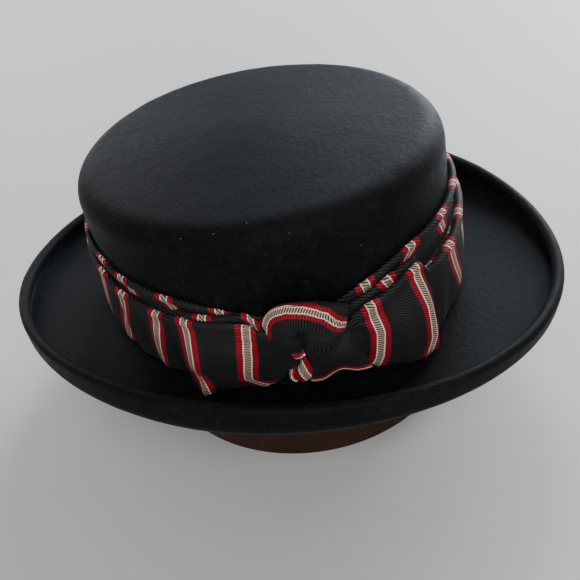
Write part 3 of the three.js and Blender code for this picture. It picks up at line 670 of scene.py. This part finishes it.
# Control points of the knot's cloth as (turn, height, out): rows from its upper to its lower edge.
LOOP_NET = [
    [(12.6, 52, 7), (17.8, 64, 10.5), (25.0, 66.4, 13.5), (31.5, 62, 13), (37.3, 52.3, 8)],
    [(13.1, 49.5, 8), (18.2, 60, 15), (24.6, 61.6, 18.3), (30.5, 57.6, 17.5), (36.3, 49.3, 9)],
    [(13.7, 46.6, 9), (18.2, 52, 15.5), (23.2, 51, 17.5), (29, 48.5, 18.5), (35.6, 44.7, 9)],
    [(13.9, 42, 8), (17.8, 43.5, 14.5), (22.6, 38.5, 14), (27.6, 36, 17), (35, 39, 8)],
    [(14.1, 38, 7), (17.6, 33.5, 11), (22.4, 29, 10), (26.2, 19, 12.5), (34.7, 34, 7)],
]
FLAP_NET = [
    [(23.6, 22.5, 10), (27.9, 30, 10), (32.4, 35, 8.5), (35.2, 36, 7), (36.4, 35, 6)],
    [(23.2, 17.4, 11), (27.2, 21.4, 12), (31.5, 25.5, 13), (35, 25, 11.5), (38.4, 20.4, 8)],
    [(22.4, 10.2, 10), (26.5, 9.8, 11), (31.2, 13.4, 11.5), (35.8, 9.4, 10.5), (41.0, 4.6, 9)],
]
TAIL_NET = [
    [(17.0, 15.5, 5.5), (20.0, 20.5, 9), (22.4, 30, 8)],
    [(16.6, 12, 8.5), (20.1, 14.5, 10.5), (23.8, 21, 11.2)],
    [(17.6, 8.2, 7), (21.0, 8.6, 9.5), (24.8, 13.5, 11)],
]
TUCK_NET = [
    [(18.6, 31.5, 7), (20.6, 32, 7), (22.6, 32, 6)],
    [(19.2, 28.0, 9), (21.0, 28.2, 9.4), (22.9, 28.6, 9)],
    [(20.2, 25.0, 8), (21.4, 25.6, 8.5), (22.7, 27.2, 8)],
]
# Middle lines of the stripes on each cloth as (share across, share down).
LOOP_STRIPES = [[(-0.05, 0.58), (0, 0.5), (0.06, 0.33), (0.115, 0.17), (0.16, 0.13), (0.35, 0.12),
                 (0.5, 0.15), (0.7, 0.25), (0.98, 0.6), (1.05, 0.68)]]
FLAP_STRIPES = [[(-0.1, 0.88), (0.5, 0.94), (1.1, 0.93)]]
TAIL_STRIPES = [[(0.08, -0.1), (0.14, 1.1)], [(0.62, -0.1), (0.74, 1.1)]]
TUCK_STRIPES = [[(-0.1, 1.25), (1.1, 1.25)]]


def spline_weights(share, count):
    """Catmull-Rom weights over count control points for a share of the way along them."""
    x = share * (count - 1)
    i = min(max(int(x), 0), count - 2)
    t = x - i
    values = (-0.5 * t + t * t - 0.5 * t ** 3, 1 - 2.5 * t * t + 1.5 * t ** 3,
              0.5 * t + 2 * t * t - 1.5 * t ** 3, -0.5 * t * t + 0.5 * t ** 3)
    weights = np.zeros(count)
    for k, value in zip(range(i - 1, i + 3), values):
        weights[min(max(k, 0), count - 1)] += value
    return weights


def cloth_patch(net, columns, rows, relief, rolls, stripes, narrowing):
    """Sheet over a net of control points, its left, right, upper and lower edges rolled under."""
    net = np.array(net, float)
    across = np.array([spline_weights(c / (columns - 1), net.shape[1]) for c in range(columns)])
    down = np.array([spline_weights(r / (rows - 1), net.shape[0]) for r in range(rows)])
    points = np.einsum("ri,cj,ijk->rck", down, across, net)
    u = np.linspace(0, 1, columns)[None, :]
    v = np.linspace(0, 1, rows)[:, None]
    points[:, :, 2] += relief(u, v)
    sides = ((u + 0 * v, 0.15, 0), (1 - u + 0 * v, -0.15, 0), (v + 0 * u, 0, -0.85), (1 - v + 0 * u, 0, 0.25))
    for (edge, shift_turn, shift_height), (depth, width) in zip(sides, rolls):
        away = np.clip(1 - edge / width, 0, 1)
        drop = depth * (1 - np.sqrt(np.maximum(1 - away ** 2, 0)))
        points[:, :, 2] -= drop
        points[:, :, 0] += drop * shift_turn
        points[:, :, 1] += drop * shift_height
    points[:, :, 2] = np.maximum(points[:, :, 2], 1.6)
    place = beside_crown(rad(points[:, :, 0]), points[:, :, 2], points[:, :, 1])
    back = beside_crown(rad(points[:, :, 0]), points[:, :, 2] - CLOTH, points[:, :, 1])
    stripe = np.full((rows, columns), 99.0)
    for line in stripes:
        ends = np.array(line, float)
        for k in np.linspace(0, len(ends) - 1, 90):
            i = min(int(k), len(ends) - 2)
            at = mix(ends[i], ends[i + 1], k - i)
            weights = np.einsum("i,j,ijk->k", spline_weights(at[1], net.shape[0]),
                                spline_weights(at[0], net.shape[1]), net)
            inside = np.clip(at, 0, 1)
            r, c = int(round(inside[1] * (rows - 1))), int(round(inside[0] * (columns - 1)))
            beyond = beside_crown(rad(weights[0]), weights[2], weights[1])
            spot = place[r, c] if (inside == at).all() else beyond
            stripe = np.minimum(stripe, np.linalg.norm(place - spot, axis=2))
    step_u = np.linalg.norm(np.diff(place, axis=1), axis=2)
    step_v = np.linalg.norm(np.diff(place, axis=0), axis=2)
    along = np.hstack([np.zeros((rows, 1)), np.cumsum(step_u, axis=1)])
    across_run = np.vstack([np.zeros((1, columns)), np.cumsum(step_v, axis=0)])
    front_faces = grid_faces(rows, columns)
    total = rows * columns
    faces = list(front_faces) + [tuple(total + i for i in reversed(f)) for f in front_faces]
    rim = ([(0, c) for c in range(columns)] + [(r, columns - 1) for r in range(1, rows)]
           + [(rows - 1, c) for c in range(columns - 2, -1, -1)] + [(r, 0) for r in range(rows - 2, 0, -1)])
    rim = [r * columns + c for r, c in rim]
    for a, b in zip(rim, rim[1:] + rim[:1]):
        faces.append((b, a, total + a, total + b))
    flat = np.concatenate([place.reshape(-1, 3), back.reshape(-1, 3)])
    one = np.stack([0.85 * along + 0.5 * across_run, stripe * narrowing], axis=-1).reshape(-1, 2)
    return flat, outward(flat, faces), np.concatenate([one, one])


def loop_relief(u, v):
    hole = np.exp(-((u - 0.48) / 0.055) ** 2 - ((v - 0.62) / 0.075) ** 2)
    crease = np.exp(-((u - 0.5 - 0.05 * (v - 0.62)) / 0.035) ** 2) * smooth(v, 0.55, 0.75)
    angle = np.arctan2(v - 0.6, (u - 0.48))
    away = np.hypot((u - 0.48), (v - 0.6) * 0.9)
    rays = 0.7 * np.cos(5 * angle + 0.6) * np.exp(-away / 0.16) * smooth(away, 0.03, 0.14)
    lean = 0.9 * np.sin((u * 5 + v * 3.2) * 2.2) * smooth(u, 0.55, 0.8)
    return -10 * hole - 5.5 * crease + rays + 0.4 * lean


def flap_relief(u, v):
    waves = 0.9 * np.sin(u * 9.5 + 0.7) * smooth(v, 0.1, 0.9)
    return waves - 1.0 * np.exp(-((u - 0.55) / 0.08) ** 2) * (1 - v)


def tail_relief(u, v):
    return -2.2 * np.exp(-((u - 0.36) / 0.07) ** 2) + 0 * v


def knot(material):
    patches = [
        cloth_patch(LOOP_NET, 130, 120, loop_relief,
                    ((5, 0.05), (5, 0.05), (6.5, 0.08), (4.5, 0.06)), LOOP_STRIPES, 1.35),
        cloth_patch(FLAP_NET, 90, 60, flap_relief,
                    ((2, 0.05), (5, 0.05), (2, 0.05), (4, 0.1)), FLAP_STRIPES, 1.9),
        cloth_patch(TAIL_NET, 60, 50, tail_relief,
                    ((4.5, 0.25), (2, 0.1), (4, 0.2), (4, 0.25)), TAIL_STRIPES, 1),
        cloth_patch(TUCK_NET, 40, 30, lambda u, v: 0 * u * v,
                    ((2, 0.1), (2, 0.1), (1, 0.1), (2, 0.2)), TUCK_STRIPES, 1),
    ]
    vertices, faces, values = [], [], []
    for flat, patch_faces, patch_values in patches:
        start = sum(len(v) for v in vertices)
        vertices.append(flat)
        values.append(patch_values)
        faces += [tuple(start + i for i in f) for f in patch_faces]
    piece = new_object("knot_cloth", np.concatenate(vertices) * MM, faces, material)
    values = np.concatenate(values)
    for i, name in enumerate(("weave", "stripe")):
        add_attribute(piece, name, values[:, i])
    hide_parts("band_knot")
    return piece


# Sweatband

def sweatband(material):
    half = SWEATBAND_THICKNESS / 2
    inset = FELT + CLEARANCE + half
    levels = np.concatenate([np.linspace(SWEATBAND_DROP + SWEATBAND_TUCK, SWEATBAND_DROP - 4, 8),
                             np.linspace(SWEATBAND_DROP - 4, 0.6, 30)[1:]])
    stations = 240
    turns = np.linspace(0, 2 * math.pi, stations, endpoint=False)
    lean = CROWN_TAPER / (CROWN_HEIGHT - SHOULDER_RADIUS)
    listed_heights = [0, SWEATBAND_DROP * 0.25, SWEATBAND_DROP * 0.6, SWEATBAND_DROP - 4, SWEATBAND_DROP + 20]
    listed_shares = [1, 0.8, 0.45, 0, 0]

    def wall(side, height):
        share = np.interp(height, listed_heights, listed_shares)
        tuck = inset + lean * max(height - SWEATBAND_DROP, 0)
        half_width = mix(CROWN_WIDTH / 2 - tuck, HEM_WIDTH / 2 - half, share) + side
        half_length = mix(CROWN_LENGTH / 2 - tuck, HEM_LENGTH / 2 - half, share) + side
        x = half_width * np.cos(turns)
        y = half_length * np.sin(turns) + CROWN_SETBACK + HEM_SHIFT * share
        return np.stack([x, y, np.full_like(x, height)], axis=-1)

    ring = [wall(half, h) for h in levels] + [wall(0.55 * half, 0.15), wall(0, 0), wall(-0.55 * half, 0.15)]
    ring += [wall(-half, h) for h in levels[::-1]]
    vertices = np.array(ring).transpose(1, 0, 2)
    flat = vertices.reshape(-1, 3)
    faces = grid_faces(stations, vertices.shape[1], wrap_rows=True, wrap_columns=True)
    piece = new_object("sweatband_leather", flat * MM, outward(flat, faces), material)
    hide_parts("sweatband")
    return piece


felt = felt_material()
cloth = cloth_material()
leather = leather_material()
shell = felt_body(felt)
felt_hair = hair_material("felt_hair", (0.008, 0.009, 0.011), (0.09, 0.10, 0.115))
hairs("felt_fibres", shell, felt_hair, 7000, 4, (0.9, 3.4), (0.03, 0.05), 55)
lint = hair_material("lint", (0.25, 0.27, 0.30), (0.7, 0.7, 0.66))
hairs("lint", shell, lint, 110, 9, (0.3, 1.3), (0.06, 0.13), 60)
band = hat_band(cloth)
knot_piece = knot(cloth)
sweatband(leather)


# Camera, floor and light

camera = bpy.data.objects.new("camera", bpy.data.cameras.new("camera"))
bpy.context.scene.collection.objects.link(camera)
bpy.context.scene.camera = camera
azimuth, elevation, roll = math.radians(114.16), math.radians(41.3), math.radians(-12.66)
back = Vector((math.sin(azimuth) * math.cos(elevation), -math.cos(azimuth) * math.cos(elevation),
               math.sin(elevation)))
right = Vector((0, 0, 1)).cross(back).normalized()
up = back.cross(right)
camera.location = (0.3423, 0.1593, 0.3785)
camera.rotation_mode = "QUATERNION"
turned_right = right * math.cos(roll) + up * math.sin(roll)
turned_up = up * math.cos(roll) - right * math.sin(roll)
camera.rotation_quaternion = Matrix((turned_right, turned_up, back)).transposed().to_quaternion()
camera.data.sensor_width = 36
camera.data.lens = 18 / math.tan(math.radians(20))
camera.data.clip_start, camera.data.clip_end = 0.02, 20

bpy.ops.mesh.primitive_plane_add(size=8, location=(0, 0, 0))
floor = bpy.context.object
floor.name = "floor"
floor.data.materials.append(floor_material())

world = bpy.data.worlds.new("studio")
bpy.context.scene.world = world
world.use_nodes = True
world.node_tree.nodes["Background"].inputs["Color"].default_value = (0.92, 0.95, 1.0, 1)
world.node_tree.nodes["Background"].inputs["Strength"].default_value = 0.34


def area_light(name, azimuth_deg, elevation_deg, distance, size, power, color):
    light = bpy.data.lights.new(name, "AREA")
    light.size = size
    light.energy = power
    light.color = color
    lamp = bpy.data.objects.new(name, light)
    bpy.context.scene.collection.objects.link(lamp)
    a, e = math.radians(azimuth_deg), math.radians(elevation_deg)
    way = Vector((math.sin(a) * math.cos(e), -math.cos(a) * math.cos(e), math.sin(e)))
    lamp.location = Vector((0, 0, 0.1)) + way * distance
    lamp.rotation_mode = "QUATERNION"
    lamp.rotation_quaternion = way.to_track_quat("Z", "Y")


area_light("window_left", -40, 18, 1.7, 0.9, 9, (0.96, 0.97, 1.0))
area_light("window_right", 250, 16, 1.7, 0.9, 42, (0.90, 0.95, 1.0))
area_light("sky", 274, 34, 2.2, 0.7, 41, (0.78, 0.89, 1.0))
area_light("fill", 118, 40, 2.0, 1.6, 40, (0.97, 0.99, 1.0))
